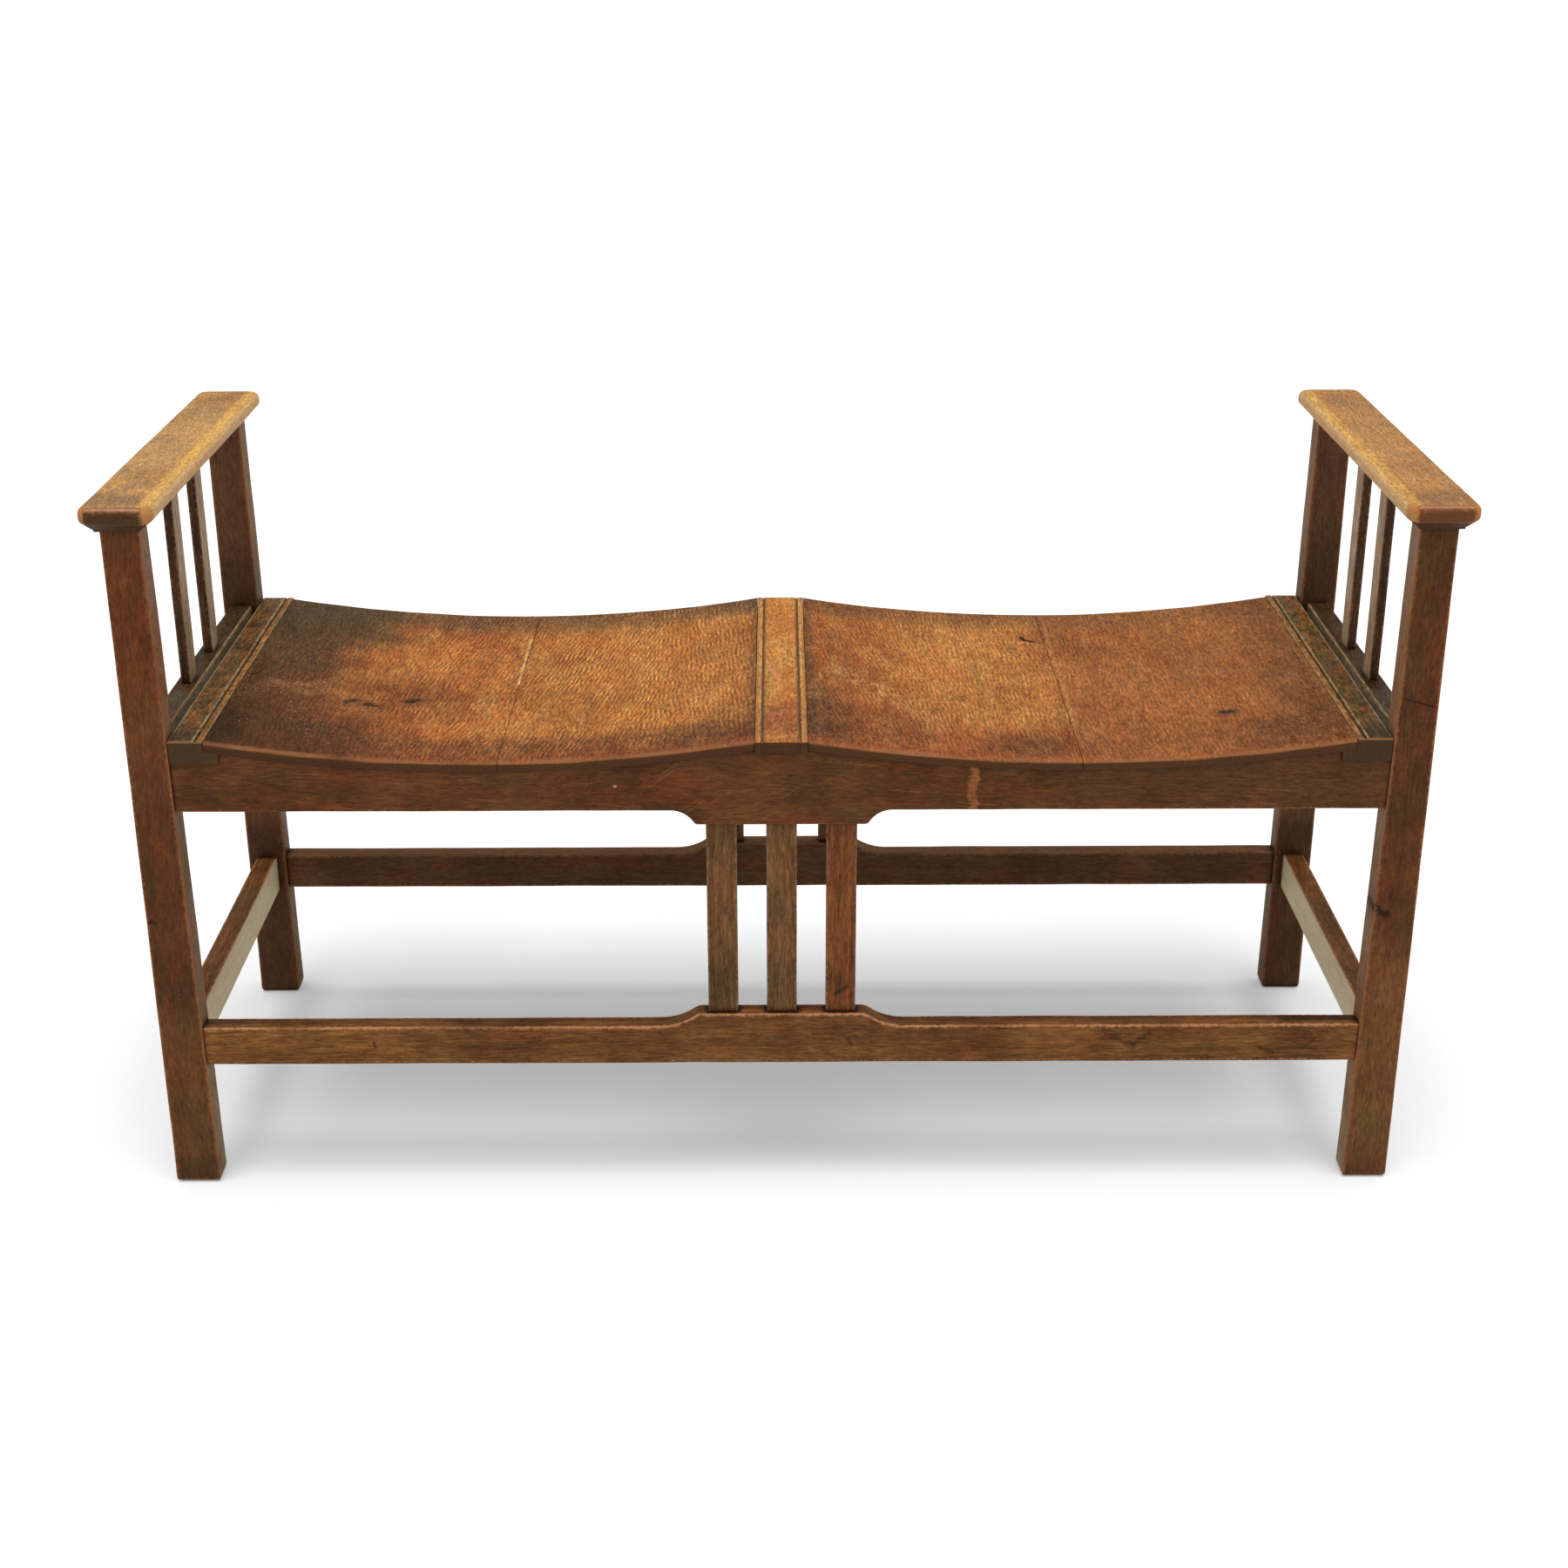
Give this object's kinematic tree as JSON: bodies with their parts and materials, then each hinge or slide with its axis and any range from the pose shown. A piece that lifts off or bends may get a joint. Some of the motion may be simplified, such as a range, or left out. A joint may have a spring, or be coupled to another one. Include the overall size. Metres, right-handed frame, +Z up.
{
  "type": "window bench",
  "caption": "Oak window bench with a dished plank seat, low slatted arms at both ends, tapered posts and shaped rails over stretchers.",
  "frame": {"origin": "on the floor, under the middle of the bench", "axes": "+X along the seat to the sitter's left as seen facing the front (the picture's right), +Y from the front to the rear, +Z up"},
  "size_m": [1.2, 0.46, 0.675],
  "materials": {
    "frame_oak": "dark stained oak, waxed, worn at the edges",
    "slat_oak": "stained oak, waxed",
    "board_oak": "worn orange-brown oak, satin, dark at the edges",
    "bearer_oak": "dark stained oak, satin",
    "stile_oak": "worn golden oak, satin",
    "arm_oak": "worn golden-brown oak, satin"
  },
  "bodies": {
    "root": {"front_left_post": "frame_oak", "front_right_post": "frame_oak", "rear_left_post": "frame_oak", "rear_right_post": "frame_oak", "front_rail": "frame_oak", "rear_rail": "frame_oak", "left_seat_rail": "frame_oak", "right_seat_rail": "frame_oak", "front_stretcher": "frame_oak", "rear_stretcher": "frame_oak", "left_stretcher": "frame_oak", "right_stretcher": "frame_oak", "front_slat_left": "slat_oak", "front_slat_middle": "slat_oak", "front_slat_right": "slat_oak", "rear_slat_left": "slat_oak", "rear_slat_middle": "slat_oak", "rear_slat_right": "slat_oak", "left_arm": "arm_oak", "right_arm": "arm_oak", "left_arm_slat_front": "slat_oak", "left_arm_slat_rear": "slat_oak", "right_arm_slat_front": "slat_oak", "right_arm_slat_rear": "slat_oak", "left_seat_bearer": "bearer_oak", "right_seat_bearer": "bearer_oak", "centre_stile": "stile_oak", "left_outer_board": "board_oak", "left_inner_board": "board_oak", "right_inner_board": "board_oak", "right_outer_board": "board_oak"}
  },
  "joints": []
}
